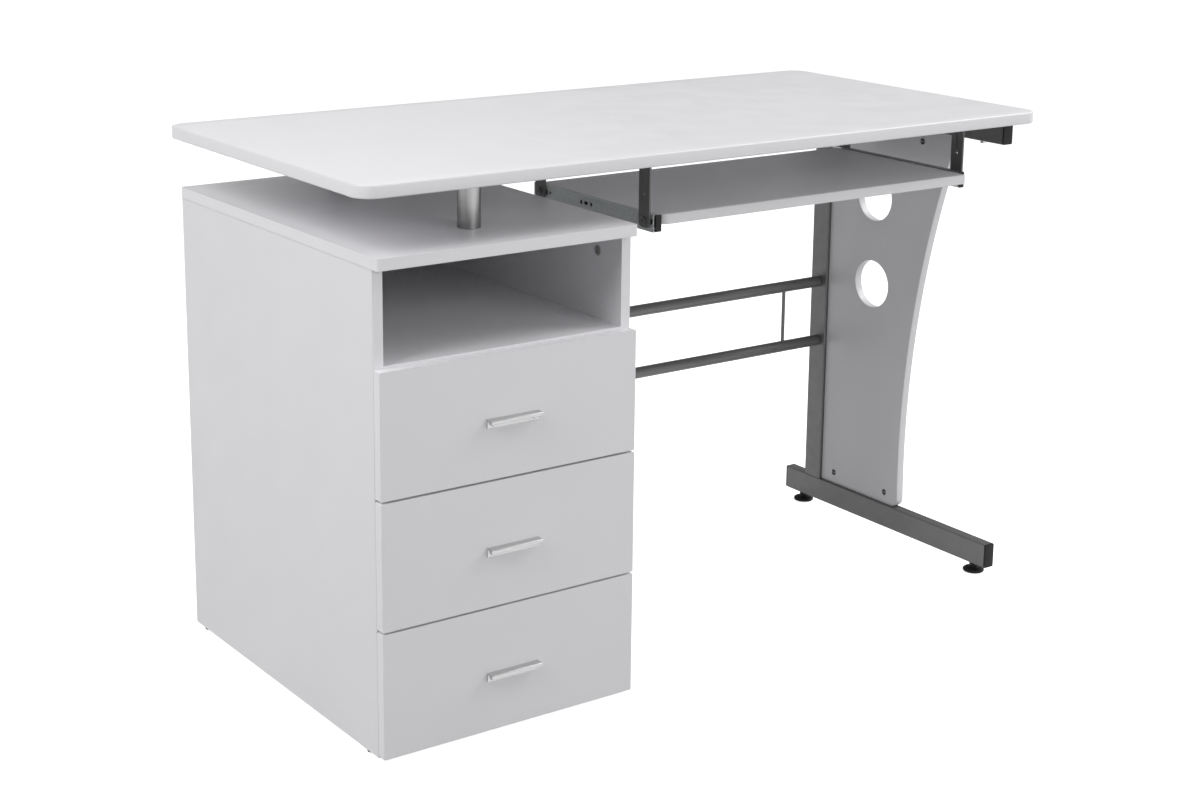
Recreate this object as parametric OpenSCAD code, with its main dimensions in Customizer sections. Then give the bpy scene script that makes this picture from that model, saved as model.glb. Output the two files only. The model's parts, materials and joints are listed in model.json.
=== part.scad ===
// Computer desk: a drawer pedestal on the left, an open cubby above the drawers, a pull-out
// keyboard tray and a steel leg frame on the right. Millimetres, +Z up, the user sits at -Y.
// Every module is written in desk coordinates: x from the top's left edge, y from the top's
// front edge, z from the floor. in_frame() then moves the origin to the middle of the footprint.

/* [Desk top] */
// Width of the desk top
top_w = 1200; // [1000:10:1400]
// Depth of the desk top
top_d = 580; // [500:5:700]
// Thickness of the desk top
top_t = 18; // [15:1:25]
// Height of the work surface above the floor
top_h = 776; // [700:1:800]
// Plan radius of the four corners
top_corner_r = 28; // [5:1:60]
// Height of the standoff tubes between pedestal and desk top
standoff_h = 76; // [40:1:120]
// Outside diameter of the standoff tubes
standoff_d = 32; // [20:1:50]

/* [Pedestal] */
// Distance from the desk top's left edge to the pedestal
ped_x = 22; // [0:1:80]
// Outside width of the pedestal
ped_w = 402; // [350:1:460]
// Thickness of the pedestal boards
board_t = 15; // [12:1:18]
// Thickness of the pedestal's top plate
plate_t = 16; // [15:1:25]
// Set-back of the carcass front edges behind the desk top's front edge
carcass_y = 16; // [10:1:40]
// Clear height of the open cubby
cubby_h = 128; // [80:1:180]
// Thickness of the hardboard back panel
back_t = 3; // [2:1:6]
// Height of the glides under the side panels
glide_h = 3; // [2:1:6]

/* [Drawers] */
// Height of the top drawer's front
front_h_top = 172; // [150:1:190]
// Height of each lower drawer front
front_h_low = 176; // [150:1:190]
// Gap between two drawer fronts
front_gap = 3; // [2:0.5:5]
// Height of the lowest front above the floor
front_foot = 5; // [4:1:20]
// Length of a drawer box behind its front
box_len = 420; // [300:10:480]
// Height of a drawer box
box_h = 120; // [80:5:130]
// Thickness of the drawer box boards
box_t = 12; // [9:1:15]

/* [Handles] */
// Length of a handle
handle_l = 82; // [60:1:160]
// How far a handle stands out from its front
handle_out = 13; // [10:1:25]
// Height of the handle's back flange
handle_h = 13; // [10:1:25]
// Diameter of the rod-like bead along the handle's front
lip_h = 6.5; // [4:0.5:10]
// Wall thickness of the handle
handle_wall = 2; // [1.5:0.5:3]
// Distance between the two handle screws
handle_pitch = 64; // [32:32:128]
// Height of a handle's top above its front's lower edge
handle_rise = 85; // [60:1:120]

/* [Keyboard tray] */
// Left edge of the tray
tray_x = 507.5; // [450:0.5:600]
// Width of the tray
tray_w = 596; // [450:1:640]
// Set-back of the tray's front edge
tray_y = 60; // [20:1:120]
// Depth of the tray
tray_d = 300; // [250:5:380]
// Thickness of the tray
tray_t = 15; // [12:1:18]
// Height of the tray's upper face
tray_h = 676; // [620:1:700]
// Plan radius of the tray's front left corner
tray_corner_r = 18; // [5:1:40]

/* [Leg frame] */
// Width of the rectangular tube
tube_w = 20; // [15:1:30]
// Depth of the rectangular tube
tube_d = 40; // [30:1:60]
// Wall thickness of the tube
tube_wall = 1.5; // [1:0.1:3]
// Distance of the frame's outer face from the desk top's right edge
leg_inset = 9; // [0:1:60]
// Front end of the foot bar
foot_bar_y = 38; // [0:1:100]
// Length of the foot bar with its end caps
foot_bar_l = 502; // [400:1:560]
// Height of the levelling feet
foot_h = 16; // [10:1:30]
// Front face of the post
post_y = 449.5; // [380:0.5:500]
// Front end of the top arm
arm_y = 48; // [20:1:100]
// Length of the top arm with its end caps
arm_l = 480; // [400:1:520]
// Diameter of the two crossbars
bar_d = 19; // [12:1:25]
// Height of the upper crossbar's axis
bar_high_z = 416; // [350:1:500]
// Height of the lower crossbar's axis
bar_low_z = 309; // [200:1:340]

/* [Leg panel] */
// Thickness of the leg panel
panel_t = 15; // [12:1:18]
// Front edge of the leg panel at its foot
panel_foot_y = 256; // [200:1:320]
// Radius of the panel's curved front edge
panel_sweep_r = 1660; // [1200:10:2400]
// Diameter of the two round cut-outs
porthole_d = 81; // [40:1:110]
// Height of the upper cut-out
porthole_high_z = 587; // [500:1:640]
// Height of the lower cut-out
porthole_low_z = 436; // [300:1:480]

/* [Part to draw] */
// Name of one node, or all

/* [Hidden] */
$fn = 64;
// a cutter runs this far past the face that it opens
over = 1;
// moving pieces stay this far from fixed ones
air = 0.5;

// desk top and overall frame
top_under = top_h - top_t;
front_face_y = carcass_y - air - board_t;
frame_mid_y = (front_face_y - handle_out + top_d) / 2;

// pedestal levels
plate_top = top_under - standoff_h;
plate_under = plate_top - plate_t;
shelf_top = plate_under - cubby_h;
shelf_under = shelf_top - board_t;
ped_right = ped_x + ped_w;
ped_mid = ped_x + ped_w / 2;
inner_left = ped_x + board_t;
inner_right = ped_right - board_t;
inner_w = inner_right - inner_left;
plate_lap = 1;
rebate_w = 7;
rail_d = 60;
rail_z = 5;
standoff_y = [109, 470];
standoff_wall = 1.5;

// knock-down fittings
cam_d = 15;
cam_depth = 12.5;
cam_reach = 31;
shelf_cam_reach = 24;
pin_d = 6;
pin_bite = 10;
plate_cam_y = [73, 523];
shelf_cam_y = [80, 500];
bolt_d = 6;
bolt_head_d = 11;
bolt_head_h = 4;
key_d = 4.6;
screw_d = 4;
screw_head_d = 8;
screw_head_h = 2.4;

// drawers, numbered from the top
runner_gap = 12.5;
box_left = inner_left + runner_gap;
box_right = inner_right - runner_gap;
box_w = box_right - box_left;
box_front_y = carcass_y - air;
box_back_y = box_front_y + box_len;
box_rise = 25;
groove = 5;
bottom_t = 3;
bottom_rise = 10;
function front_h(n) = n == 1 ? front_h_top : front_h_low;
function front_z(n) = front_foot + (3 - n) * (front_h_low + front_gap);
function box_z(n) = front_z(n) + box_rise;
function handle_top(n) = front_z(n) + handle_rise;

// roller runners
sheet = 1.2;
runner_y = 18;
runner_len = 420;
roller_r = 10;
roller_w = 7;
run_flange = 7.8;

// tray slides and hangers
slide_t = 12.5;
slide_h = 25;
slide_z = 652;
slide_lip = 2;
inner_h = 16;
strap_w = 25;
strap_t = 3;
strap_foot_z = 657;
strap_flange = 32;
strap_bolt_z = 667;
strap_hole_z = 704;
strap_y = [66, 328];
strap_end_r = 8;
stop_t = 3;
stop_w = 9.5;
stop_tab = 6;
slide_ports = [[6.5, 9], [267, 9], [257, 5], [176, 6], [151, 6]];
slide_slot_y = 164;
right_set_back = 16;
tray_screw_y = [115, 305];

// leg frame
leg_right = top_w - leg_inset;
leg_left = leg_right - tube_w;
foot_bar_top = foot_h + tube_d;
arm_under = top_under - tube_d;
cap_t = 3;
cap_plug = 14;
tube_r = 2;
post_mid = post_y + tube_d / 2;
foot_y = [72, 501];
foot_pad_d = 35;
foot_stud_d = 8;
foot_fit = 0.05;
bar_wall = 1.5;
rod_d = 6;
rod_at_x = [504, 1091];
panel_top_y = 152;
panel_corner_r = 15;
panel_rear_y = post_y;
sweep_z = 140;
porthole_y = 340.5;
dowel_d = 10;
dowel_len = 13;
dowel_rise = 20;
dowel_foot_y = [287, 417];
dowel_arm_y = [232, 417];
arm_bolt_y = [100, 505];
insert_len = 12;

// ---- shared shapes -------------------------------------------------------------------------

// moves desk coordinates to the frame whose origin is the middle of the footprint
module in_frame() {
  translate([-top_w / 2, -frame_mid_y, 0]) children();
}

// a box given by its lower corner and its size
module block(corner, size) {
  translate(corner) cube(size);
}

// a round bar along +Z, +X or +Y from a point
module rod_z(at, d, len) {
  translate(at) cylinder(d = d, h = len);
}

module rod_x(at, d, len) {
  translate(at) rotate([0, 90, 0]) cylinder(d = d, h = len);
}

// a rectangle with chosen corner radii: near corners at y = 0, far corners at y = depth
module round_plan(w, d, near_r, far_r) {
  difference() {
    square([w, d]);
    for (side = [0, 1]) {
      corner_waste(w, side, 0, near_r);
      corner_waste(w, side, d, far_r);
    }
  }
}

// what a rounded corner takes away from a rectangle
module corner_waste(w, side, y, r) {
  away_x = side == 0 ? -over : w - r;
  away_y = y == 0 ? -over : y - r;
  if (r > 0)
    difference() {
      translate([away_x, away_y]) square(r + over);
      translate([side == 0 ? r : w - r, y == 0 ? r : y - r]) circle(r = r);
    }
}

// repeats what is on the left of a centre line on its right as well
module on_both_sides(mid) {
  for (side = [0, 1])
    translate([mid, 0, 0]) mirror([side, 0, 0]) translate([-mid, 0, 0]) children();
}

// mirrors what is on the left of a centre line to its right
module to_other_side(mid) {
  translate([mid, 0, 0]) mirror([1, 0, 0]) translate([-mid, 0, 0]) children();
}

// ---- fittings ------------------------------------------------------------------------------

// eccentric cam let up into a board's face at z = 0, with its pin along +X into the next board
module cam_body(reach) {
  cylinder(d = cam_d, h = cam_depth);
  translate([0, 0, board_t / 2]) rotate([0, 90, 0]) cylinder(d = pin_d, h = reach + pin_bite);
}

module cam_slots() {
  for (turn = [0, 90])
    rotate([0, 0, turn]) translate([-4.5, -0.6, -over]) cube([9, 1.2, over + 2]);
}

// the pedestal's left cams: two under the top plate and two under the shelf
module left_cams(slotted) {
  for (y = plate_cam_y)
    translate([inner_left, y, plate_under - cam_reach]) rotate([0, -90, 0])
      cam(cam_reach, slotted);
  for (y = shelf_cam_y)
    translate([inner_left + shelf_cam_reach, y, shelf_under]) rotate([0, 0, 180])
      cam(shelf_cam_reach, slotted);
}

module cam(reach, slotted) {
  difference() {
    cam_body(reach);
    if (slotted) cam_slots();
  }
}

module all_cams(slotted) {
  on_both_sides(ped_mid) left_cams(slotted);
}

// socket-head connector bolt: the head stands below z = 0 and the shank runs up from it
module bolt(len) {
  difference() {
    union() {
      translate([0, 0, -bolt_head_h]) cylinder(d = bolt_head_d, h = bolt_head_h);
      cylinder(d = bolt_d, h = len);
    }
    translate([0, 0, -bolt_head_h - over]) cylinder(d = key_d, h = over + 2.5);
  }
}

// pan-head screw: the head stands below z = 0 and the shank runs up from it
module screw(len) {
  difference() {
    union() {
      translate([0, 0, -screw_head_h]) cylinder(d = screw_head_d, h = screw_head_h);
      cylinder(d = screw_d, h = len);
    }
    for (turn = [0, 90])
      rotate([0, 0, turn])
        translate([-2.5, -0.5, -screw_head_h - over]) cube([5, 1, over + 1.2]);
  }
}

// ---- desk top and its standoffs --------------------------------------------------------------

arm_bolt_len = tube_d + insert_len;
standoff_bolt_len = plate_t + standoff_h + insert_len;
strap_screw_len = strap_t + insert_len;

module desk_top() {
  in_frame() color([0.93, 0.93, 0.94])
    difference() {
      translate([0, 0, top_under]) linear_extrude(top_t)
        round_plan(top_w, top_d, top_corner_r, top_corner_r);
      for (y = arm_bolt_y)
        rod_z([leg_left + tube_w / 2, y, top_under - over], bolt_d, insert_len + over);
      for (y = standoff_y)
        rod_z([ped_mid, y, top_under - over], bolt_d, insert_len + over);
      strap_screw_places() rod_z([0, 0, -over], screw_d, strap_screw_len + over);
    }
}

module standoff(y) {
  in_frame() color([0.66, 0.67, 0.69])
    difference() {
      rod_z([ped_mid, y, plate_top], standoff_d, standoff_h);
      rod_z([ped_mid, y, plate_top + 2], standoff_d - 2 * standoff_wall, standoff_h - 4);
      rod_z([ped_mid, y, plate_top - over], bolt_d, standoff_h + 2 * over);
    }
}

module standoff_front() {
  standoff(standoff_y[0]);
}

module standoff_rear() {
  standoff(standoff_y[1]);
}

// ---- pedestal carcass --------------------------------------------------------------------------

// the left side panel, with the rebate for the back panel and the bores of its cams
module side_board() {
  difference() {
    block([ped_x, carcass_y, glide_h], [board_t, top_d - carcass_y, plate_under - glide_h]);
    block([inner_left - rebate_w, top_d - back_t, rail_z + board_t],
      [rebate_w + over, back_t + over, plate_under]);
    left_cams(false);
  }
}

module pedestal_left_side() {
  in_frame() color([0.88, 0.88, 0.90]) side_board();
}

module pedestal_right_side() {
  in_frame() color([0.88, 0.88, 0.90])
    difference() {
      to_other_side(ped_mid) side_board();
      for (z = [bar_low_z, bar_high_z])
        rod_x([inner_right - over, post_mid, z], bolt_d, board_t + 2 * over);
    }
}

module pedestal_top_plate() {
  in_frame() color([0.86, 0.86, 0.88])
    difference() {
      translate([ped_x - plate_lap, front_face_y, plate_under]) linear_extrude(plate_t)
        round_plan(ped_w + 2 * plate_lap, top_d - front_face_y, 4, 2);
      all_cams(false);
      for (y = standoff_y)
        rod_z([ped_mid, y, plate_under - over], bolt_d, plate_t + 2 * over);
    }
}

module pedestal_back_panel() {
  in_frame() color([0.80, 0.80, 0.82])
    block([inner_left - rebate_w, top_d - back_t, rail_z + board_t],
      [inner_w + 2 * rebate_w, back_t, plate_under - rail_z - board_t]);
}

module cubby_shelf() {
  in_frame() color([0.88, 0.88, 0.90])
    difference() {
      block([inner_left, carcass_y, shelf_under],
        [inner_w, top_d - back_t - carcass_y, board_t]);
      all_cams(false);
    }
}

module pedestal_rails() {
  in_frame() color([0.84, 0.84, 0.86])
    for (y = [carcass_y + 24, top_d - rail_d])
      block([inner_left, y, rail_z], [inner_w, rail_d, board_t]);
}

module pedestal_glides() {
  in_frame() color([0.25, 0.25, 0.26])
    on_both_sides(ped_mid)
      for (y = [carcass_y + 30, top_d - 30])
        rod_z([ped_x + board_t / 2, y, 0], 14, glide_h);
}

// ---- drawer runners ------------------------------------------------------------------------------

// carcass half of the left runner of drawer n: a lipped channel with a roller at its front
module cabinet_runner(n) {
  z = box_z(n);
  reach = run_flange + 1.5;
  block([inner_left, runner_y, z - 8], [sheet, runner_len, 30]);
  block([inner_left, runner_y, z - 8], [sheet + reach, runner_len, sheet]);
  block([inner_left, runner_y, z + 22 - sheet], [sheet + reach, runner_len, sheet]);
  rod_x([inner_left, runner_y + 14, z + 4.5], 2 * roller_r, sheet + roller_w);
}

module cabinet_runners() {
  in_frame() color([0.90, 0.90, 0.91])
    on_both_sides(ped_mid)
      for (n = [1:3]) cabinet_runner(n);
}

// drawer half of the left runner: an angle under the box side, a running flange and a roller
module drawer_runner(n) {
  z = box_z(n);
  web_x = box_left - sheet;
  block([web_x, box_front_y + 1, z - sheet], [box_t, box_len - 1, sheet]);
  block([web_x, box_front_y + 1, z - sheet], [sheet, box_len - 1, 16 + sheet]);
  block([web_x - run_flange, box_front_y + 1, z + 16 - sheet],
    [run_flange + sheet, box_len - 1, sheet]);
  rod_x([web_x - roller_w, box_back_y - 12, z + 3.5], 2 * roller_r, roller_w + sheet / 2);
}

module drawer_runners(n) {
  in_frame() color([0.90, 0.90, 0.91])
    on_both_sides(ped_mid) drawer_runner(n);
}

// ---- drawer boxes ----------------------------------------------------------------------------------

module handle_screw_places(n) {
  for (x = [-0.5, 0.5])
    translate([ped_mid + x * handle_pitch, box_front_y, handle_top(n) - handle_h / 2])
      rotate([90, 0, 0]) children();
}

// screws through the left box side into the back board
module box_screw_places(n) {
  for (z = [30, 90])
    translate([box_left, box_back_y - box_t / 2, box_z(n) + z]) rotate([0, 90, 0]) children();
}

module bottom_board(n) {
  block([box_left + box_t - groove, box_front_y - groove, box_z(n) + bottom_rise],
    [box_w - 2 * box_t + 2 * groove, box_len - box_t + 2 * groove, bottom_t]);
}

module drawer_front(n) {
  in_frame() color([0.90, 0.90, 0.92])
    difference() {
      translate([ped_x, box_front_y, front_z(n)]) rotate([90, 0, 0]) linear_extrude(board_t)
        round_plan(ped_w, front_h(n), 1.5, 1.5);
      handle_screw_places(n) rod_z([0, 0, -over], screw_d, board_t + 2 * over);
      bottom_board(n);
    }
}

module left_box_side(n) {
  difference() {
    block([box_left, box_front_y, box_z(n)], [box_t, box_len, box_h]);
    bottom_board(n);
    box_screw_places(n) rod_z([0, 0, 0], screw_d, 40);
    box_screw_places(n) rod_z([0, 0, -over], screw_head_d, screw_head_h + over);
  }
}

module drawer_left_side(n) {
  in_frame() color([0.85, 0.85, 0.86]) left_box_side(n);
}

module drawer_right_side(n) {
  in_frame() color([0.85, 0.85, 0.86]) to_other_side(ped_mid) left_box_side(n);
}

module drawer_back(n) {
  in_frame() color([0.85, 0.85, 0.86])
    difference() {
      block([box_left + box_t, box_back_y - box_t, box_z(n)], [box_w - 2 * box_t, box_t, box_h]);
      bottom_board(n);
      on_both_sides(ped_mid) box_screw_places(n) rod_z([0, 0, 0], screw_d, 40);
    }
}

module drawer_bottom(n) {
  in_frame() color([0.78, 0.78, 0.80]) bottom_board(n);
}

// pull with a rod-like bead along its front edge, open below
module drawer_handle(n) {
  boss_len = 8;
  in_frame() color([0.74, 0.75, 0.77])
    difference() {
      union() {
        translate([ped_mid - handle_l / 2, front_face_y, handle_top(n)]) rotate([90, 0, 90])
          linear_extrude(handle_l) handle_profile();
        handle_screw_places(n) rod_z([0, 0, board_t], 8, boss_len);
      }
      handle_screw_places(n) rod_z([0, 0, -over], screw_d, over + board_t + boss_len - 1.5);
    }
}

// section of the pull: x runs towards the back, y up; the fixing face is x = 0
module handle_profile() {
  bead_x = -handle_out + lip_h / 2;
  translate([-handle_wall, -handle_h]) square([handle_wall, handle_h]);
  translate([bead_x, -handle_wall]) square([-bead_x, handle_wall]);
  translate([bead_x, -lip_h / 2]) circle(d = lip_h);
}

module drawer_screws(n) {
  in_frame() color([0.60, 0.60, 0.61]) {
    handle_screw_places(n) screw(board_t + 6);
    on_both_sides(ped_mid)
      box_screw_places(n) translate([0, 0, screw_head_h]) screw(40 - screw_head_h);
  }
}

// ---- keyboard tray, slides and hangers -----------------------------------------------------------

tray_mid = tray_x + tray_w / 2;
slide_out_x = tray_x - slide_t;
inner_z = slide_z + (slide_h - inner_h) / 2;

module keyboard_tray() {
  in_frame() color([0.89, 0.89, 0.91])
    difference() {
      translate([tray_x, tray_y, tray_h - tray_t]) linear_extrude(tray_t)
        tray_plan();
      tray_screw_sites() rod_z([0, 0, 0], screw_d, 18);
    }
}

// plan of the tray board: the front corner next to the pedestal is rounded
module tray_plan() {
  difference() {
    square([tray_w, tray_d]);
    corner_waste(tray_w, 0, 0, tray_corner_r);
    corner_waste(tray_w, 1, 0, 1.5);
    corner_waste(tray_w, 0, tray_d, 2);
    corner_waste(tray_w, 1, tray_d, 2);
  }
}

// the right slide and its hangers mirror the left ones and sit further back
module to_right_slide() {
  translate([0, right_set_back, 0]) to_other_side(tray_mid) children();
}

module at_both_slides() {
  children();
  to_right_slide() children();
}

module tray_screw_sites() {
  at_both_slides() tray_screw_places() children();
}

module tray_screw_places() {
  for (y = tray_screw_y)
    translate([tray_x - sheet, y, slide_z + slide_h / 2]) rotate([0, 90, 0]) children();
}

// fixed member of the left slide: a lipped channel that opens towards the tray
module slide_outer() {
  reach = 8.5;
  difference() {
    union() {
      block([slide_out_x, tray_y, slide_z], [sheet, tray_d, slide_h]);
      for (up = [0, 1])
        translate([0, 0, slide_z + slide_h / 2]) mirror([0, 0, up])
          translate([0, 0, -slide_h / 2]) {
            block([slide_out_x, tray_y, 0], [reach, tray_d, sheet]);
            block([slide_out_x + reach - sheet, tray_y, 0], [sheet, tray_d, sheet + slide_lip]);
          }
    }
    for (port = slide_ports)
      rod_x([slide_out_x - over, tray_y + port[0], strap_bolt_z], port[1], sheet + 2 * over);
    for (side = [-2, 2])
      rod_x([slide_out_x - over, tray_y + slide_slot_y + side, strap_bolt_z], 5,
        sheet + 2 * over);
    block([slide_out_x - over, tray_y + slide_slot_y - 2, strap_bolt_z - 2.5],
      [sheet + 2 * over, 4, 5]);
    hanger_bolt_places() rod_z([0, 0, 0], 5, 20);
  }
}

// moving member of the left slide, fixed to the tray's edge
module slide_inner() {
  reach = 7;
  difference() {
    union() {
      block([tray_x - sheet, tray_y, inner_z], [sheet, tray_d, inner_h]);
      for (z = [inner_z, inner_z + inner_h - sheet])
        block([tray_x - reach, tray_y, z], [reach, tray_d, sheet]);
    }
    tray_screw_places() rod_z([0, 0, -over], screw_d, sheet + 2 * over);
  }
}

module tray_slide_left_outer() {
  in_frame() color([0.55, 0.57, 0.58]) slide_outer();
}

module tray_slide_right_outer() {
  in_frame() color([0.55, 0.57, 0.58]) to_right_slide() slide_outer();
}

module tray_slide_left_inner() {
  in_frame() color([0.55, 0.57, 0.58]) slide_inner();
}

module tray_slide_right_inner() {
  in_frame() color([0.55, 0.57, 0.58]) to_right_slide() slide_inner();
}

// end stop on the front of the left moving member; it closes against the fixed member
module left_stop() {
  block([tray_x - air - stop_w, tray_y - stop_t, slide_z + 1], [stop_w, stop_t - air, slide_h - 1]);
  block([tray_x - stop_tab, tray_y - air - over, inner_z + 2], [stop_tab - sheet, over + 8, 12]);
}

module tray_stops() {
  in_frame() color([0.08, 0.08, 0.08]) at_both_slides() left_stop();
}

module tray_screws() {
  in_frame() color([0.60, 0.60, 0.61])
    tray_screw_sites() screw(18);
}

// left hangers: a strap down to the slide and a flange under the desk top, pointing outwards
module left_hangers() {
  strap_x = slide_out_x - strap_t;
  for (y = strap_y)
    difference() {
      union() {
        translate([strap_x, y, strap_foot_z]) rotate([90, 0, 90]) linear_extrude(strap_t)
          round_plan(strap_w, top_under - strap_foot_z, strap_end_r, 0);
        block([strap_x - strap_flange, y, top_under - strap_t],
          [strap_flange + strap_t, strap_w, strap_t]);
      }
      rod_x([strap_x - over, y + strap_w / 2, strap_hole_z], 4.5, strap_t + 2 * over);
      block([slide_out_x - 0.8, y + strap_w / 2 - 1.5, strap_hole_z + 8], [over + 0.8, 3, 36]);
      hanger_bolt_places() rod_z([0, 0, 0], 5, 20);
      left_strap_screw_places() rod_z([0, 0, -over], screw_d, strap_screw_len + over);
    }
}

module left_strap_screw_places() {
  for (y = strap_y)
    for (out = [10, 22])
      translate([slide_out_x - strap_t - out, y + strap_w / 2, top_under - strap_t]) children();
}

module strap_screw_places() {
  at_both_slides() left_strap_screw_places() children();
}

module hanger_bolt_places() {
  for (y = strap_y)
    translate([slide_out_x - strap_t, y + strap_w / 2, strap_bolt_z]) rotate([0, 90, 0])
      children();
}

module tray_hangers_left() {
  in_frame() color([0.27, 0.27, 0.28]) left_hangers();
}

module tray_hangers_right() {
  in_frame() color([0.27, 0.27, 0.28]) to_right_slide() left_hangers();
}

module hanger_screws() {
  in_frame() color([0.50, 0.50, 0.51]) strap_screw_places() screw(strap_screw_len);
}

// button-head bolts that clamp the slides to the hangers, riveted over inside the channel
module hanger_bolts() {
  in_frame() color([0.30, 0.30, 0.31])
    at_both_slides()
      hanger_bolt_places() {
        difference() {
          translate([0, 0, -3]) cylinder(d = 10, h = 3);
          translate([0, 0, -3 - over]) cylinder(d = 3.4, h = over + 1.8);
        }
        cylinder(d = 5, h = strap_t + sheet);
        translate([0, 0, strap_t + sheet]) cylinder(d = 7, h = 1.4);
      }
}

// ---- leg frame -------------------------------------------------------------------------------------

// section of the rectangular tube with its rounded edges
module tube_section(w, d) {
  difference() {
    round_plan(w, d, tube_r, tube_r);
    translate([tube_wall, tube_wall]) square([w - 2 * tube_wall, d - 2 * tube_wall]);
  }
}

// a tube along +Y from a point, tube_w wide and tube_d high
module tube_y(at, len) {
  translate(at) translate([0, len, 0]) rotate([90, 0, 0]) linear_extrude(len)
    tube_section(tube_w, tube_d);
}

module leg_foot_bar() {
  in_frame() color([0.42, 0.42, 0.43])
    difference() {
      tube_y([leg_left, foot_bar_y + cap_t, foot_h], foot_bar_l - 2 * cap_t);
      for (y = foot_y)
        rod_z([leg_left + tube_w / 2, y, foot_h - over], foot_stud_d + 2 * foot_fit,
          tube_wall + 2 * over);
      for (y = dowel_foot_y) {
        rod_z([leg_left + tube_w / 2, y, foot_h - over], bolt_head_d + 1, tube_wall + 2 * over);
        rod_z([panel_mid_x, y, foot_bar_top - tube_wall - over], bolt_d, tube_wall + 2 * over);
      }
    }
}

module leg_post() {
  in_frame() color([0.42, 0.42, 0.43])
    difference() {
      translate([leg_left, post_y, foot_bar_top]) linear_extrude(arm_under - foot_bar_top)
        tube_section(tube_w, tube_d);
      for (z = [bar_low_z, bar_high_z])
        rod_x([leg_left - over, post_mid, z], bolt_d, tube_w + 2 * over);
    }
}

module leg_top_arm() {
  in_frame() color([0.36, 0.36, 0.37])
    difference() {
      tube_y([leg_left, arm_y + cap_t, arm_under], arm_l - 2 * cap_t);
      for (y = arm_bolt_y)
        rod_z([leg_left + tube_w / 2, y, arm_under - over], bolt_d, tube_d + 2 * over);
      for (y = dowel_arm_y) {
        rod_z([panel_mid_x, y, arm_under - over], bolt_d, tube_wall + 2 * over);
        rod_z([leg_left + tube_w / 2, y, top_under - tube_wall - over], bolt_head_d + 1,
          tube_wall + 2 * over);
      }
    }
}

// black plugs in the four tube ends
module tube_end_caps() {
  plug_gap = tube_wall;
  in_frame() color([0.06, 0.06, 0.06])
    for (bar = [[foot_bar_y, foot_bar_l, foot_h], [arm_y, arm_l, arm_under]])
      for (end = [0, 1]) {
        flange_y = bar[0] + end * (bar[1] - cap_t);
        plug_y = end == 0 ? flange_y + cap_t : flange_y - cap_plug;
        translate([leg_left, flange_y + cap_t, bar[2]]) rotate([90, 0, 0])
          linear_extrude(cap_t) round_plan(tube_w, tube_d, tube_r, tube_r);
        block([leg_left + plug_gap, plug_y, bar[2] + plug_gap],
          [tube_w - 2 * plug_gap, cap_plug, tube_d - 2 * plug_gap]);
      }
}

// a threaded levelling foot: pad, hexagon and stud
module levelling_foot(y) {
  in_frame() color([0.07, 0.07, 0.07])
    translate([leg_left + tube_w / 2, y, 0]) {
      rotate_extrude() foot_pad_profile();
      rod_z([0, 0, 7], 12, 3);
      translate([0, 0, 10]) cylinder(d = 15, h = foot_h - air - 10, $fn = 6);
      rod_z([0, 0, foot_h - air], foot_stud_d, 20);
    }
}

module foot_pad_profile() {
  square([foot_pad_d / 2 - 1.5, 7]);
  square([foot_pad_d / 2, 4]);
  translate([foot_pad_d / 2 - 3, 4]) circle(r = 3);
}

module levelling_foot_front() {
  levelling_foot(foot_y[0]);
}

module levelling_foot_rear() {
  levelling_foot(foot_y[1]);
}

// ---- leg panel ---------------------------------------------------------------------------------------

panel_mid_x = leg_right - panel_t / 2;

module leg_panel() {
  height = arm_under - foot_bar_top;
  in_frame() color([0.85, 0.85, 0.88])
    difference() {
      translate([leg_right - panel_t, 0, foot_bar_top]) rotate([90, 0, 90])
        linear_extrude(panel_t)
          difference() {
            translate([panel_top_y, 0]) square([panel_rear_y - panel_top_y, height]);
            translate([panel_foot_y - panel_sweep_r, sweep_z - foot_bar_top])
              circle(r = panel_sweep_r, $fn = 128);
            for (z = [porthole_low_z, porthole_high_z])
              translate([porthole_y, z - foot_bar_top]) circle(d = porthole_d);
            panel_corner_waste();
          }
      panel_fixings();
    }
}

// rounded lower front corner of the panel, in its own plane
module panel_corner_waste() {
  r = panel_corner_r;
  foot_edge = panel_foot_y - 1;
  difference() {
    translate([foot_edge - over - 2, -over]) square([r + over + 2, r + over]);
    translate([foot_edge + r, r]) circle(r = r);
  }
}

// cross dowels in the panel's lower and upper edges, with the bores of their bolts
module dowel_barrels() {
  for (y = dowel_foot_y)
    rod_x([leg_right - panel_t, y, foot_bar_top + dowel_rise], dowel_d, dowel_len);
  for (y = dowel_arm_y)
    rod_x([leg_right - panel_t, y, arm_under - dowel_rise], dowel_d, dowel_len);
}

dowel_bolt_len = tube_wall + dowel_rise + 3;

module dowel_bolt_places() {
  for (y = dowel_foot_y)
    translate([panel_mid_x, y, foot_bar_top - tube_wall]) children();
  for (y = dowel_arm_y)
    translate([panel_mid_x, y, arm_under + tube_wall]) mirror([0, 0, 1]) children();
}

module panel_fixings() {
  dowel_barrels();
  dowel_bolt_places() cylinder(d = bolt_d, h = dowel_bolt_len);
}

module cross_dowels() {
  in_frame() color([0.70, 0.70, 0.71])
    difference() {
      dowel_barrels();
      dowel_bolt_places() cylinder(d = bolt_d, h = dowel_bolt_len);
      for (y = dowel_foot_y)
        dowel_slot(y, foot_bar_top + dowel_rise);
      for (y = dowel_arm_y)
        dowel_slot(y, arm_under - dowel_rise);
    }
}

module dowel_slot(y, z) {
  block([leg_right - panel_t - over, y - 4, z - 0.7], [over + 1.2, 8, 1.4]);
}

// ---- crossbars -------------------------------------------------------------------------------------------

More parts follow.
